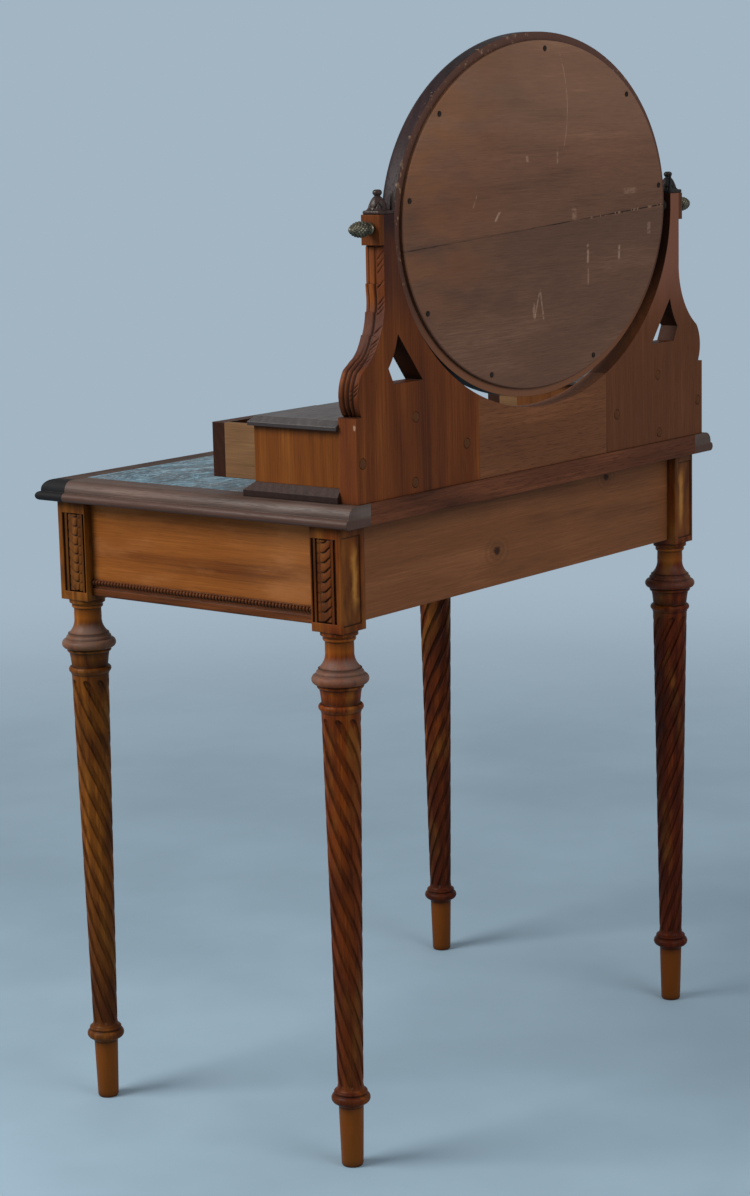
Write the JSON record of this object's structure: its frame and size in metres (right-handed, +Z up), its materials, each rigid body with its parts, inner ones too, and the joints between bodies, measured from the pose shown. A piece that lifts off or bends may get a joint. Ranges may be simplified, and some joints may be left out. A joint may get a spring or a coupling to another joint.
{
  "type": "dressing table",
  "caption": "Dressing table on turned spiral-fluted legs, with a marble top, drawers and an oval mirror that tilts between shaped uprights.",
  "frame": {"origin": "on the floor, under the middle of the table top", "axes": "+X to the right as seen from the front, +Y to the back, +Z up; the front faces -Y"},
  "size_m": [0.75, 0.4611, 1.2431],
  "materials": {
    "walnut": "old wax polish, satin",
    "walnut_red": "unpolished back, dull",
    "walnut_dark": "old wax polish, darkened",
    "walnut_grey": "bare and greyed, dull",
    "pine": "bare, dull",
    "marble": "polished stone",
    "silvered_glass": "silvered glass",
    "brass": "aged, satin",
    "bronze": "cast, dark patina",
    "steel": "dull, slightly rusted"
  },
  "bodies": {
    "table": {"leg_front_left": "walnut", "leg_front_right": "walnut", "leg_back_left": "walnut", "leg_back_right": "walnut", "apron_left": "walnut", "apron_right": "walnut", "bead_moulding_left": "walnut", "bead_moulding_right": "walnut", "front_rail_lower": "walnut", "pivot_block_left": "walnut", "pivot_block_right": "walnut", "case_left_outer_side": "walnut", "case_left_inner_side": "walnut", "case_right_outer_side": "walnut", "case_right_inner_side": "walnut", "apron_back": "walnut", "back_board_left": "walnut_red", "back_board_centre": "walnut_red", "back_board_right": "walnut_red", "board_pegs": "walnut_red", "top_rail_front": "walnut_dark", "top_rail_back": "walnut_dark", "top_rail_left": "walnut_dark", "top_rail_right": "walnut_dark", "case_left_base": "walnut_dark", "case_left_top": "walnut_dark", "case_right_base": "walnut_dark", "case_right_top": "walnut_dark", "finial_left": "walnut_dark", "finial_right": "walnut_dark", "marble_bed": "pine", "drawer_guides": "pine", "marble_slab": "marble"},
    "mirror": {"mirror_frame": "walnut", "mirror_glass": "silvered_glass", "glass_blocks": "pine", "mirror_back_upper": "walnut_grey", "mirror_back_lower": "walnut_grey", "mirror_back_screws": "steel", "pivot_pins": "steel"},
    "left_pivot_knob": {"pivot_knob_left": "bronze"},
    "right_pivot_knob": {"pivot_knob_right": "bronze"},
    "left_small_drawer": {"small_drawer_left_front": "walnut_dark", "small_drawer_left_outer_side": "pine", "small_drawer_left_inner_side": "pine", "small_drawer_left_back": "pine", "small_drawer_left_bottom": "pine", "small_drawer_left_knob": "brass"},
    "right_small_drawer": {"small_drawer_right_front": "walnut_dark", "small_drawer_right_outer_side": "pine", "small_drawer_right_inner_side": "pine", "small_drawer_right_back": "pine", "small_drawer_right_bottom": "pine", "small_drawer_right_knob": "brass"},
    "main_drawer": {"main_drawer_front": "walnut", "main_drawer_side_left": "pine", "main_drawer_side_right": "pine", "main_drawer_back": "pine", "main_drawer_bottom": "pine", "main_drawer_pulls": "brass"}
  },
  "joints": [
    {"name": "mirror_tilt", "type": "hinge", "parent": "table", "child": "mirror", "pos_m": [0, 0.2155, 1.0375], "axis": [1, 0, 0], "continuous": true},
    {"name": "left_knob_turn", "type": "hinge", "parent": "mirror", "child": "left_pivot_knob", "pos_m": [-0.3048, 0.2155, 1.0375], "axis": [-1, 0, 0], "continuous": true},
    {"name": "right_knob_turn", "type": "hinge", "parent": "mirror", "child": "right_pivot_knob", "pos_m": [0.3048, 0.2155, 1.0375], "axis": [1, 0, 0], "continuous": true},
    {"name": "left_small_drawer_slide", "type": "slide", "parent": "table", "child": "left_small_drawer", "axis": [0, -1, 0], "range_m": [-0.05, 0.048]},
    {"name": "right_small_drawer_slide", "type": "slide", "parent": "table", "child": "right_small_drawer", "axis": [0, -1, 0], "range_m": [-0.068, 0.03]},
    {"name": "main_drawer_slide", "type": "slide", "parent": "table", "child": "main_drawer", "axis": [0, -1, 0], "range_m": [0, 0.26]}
  ]
}
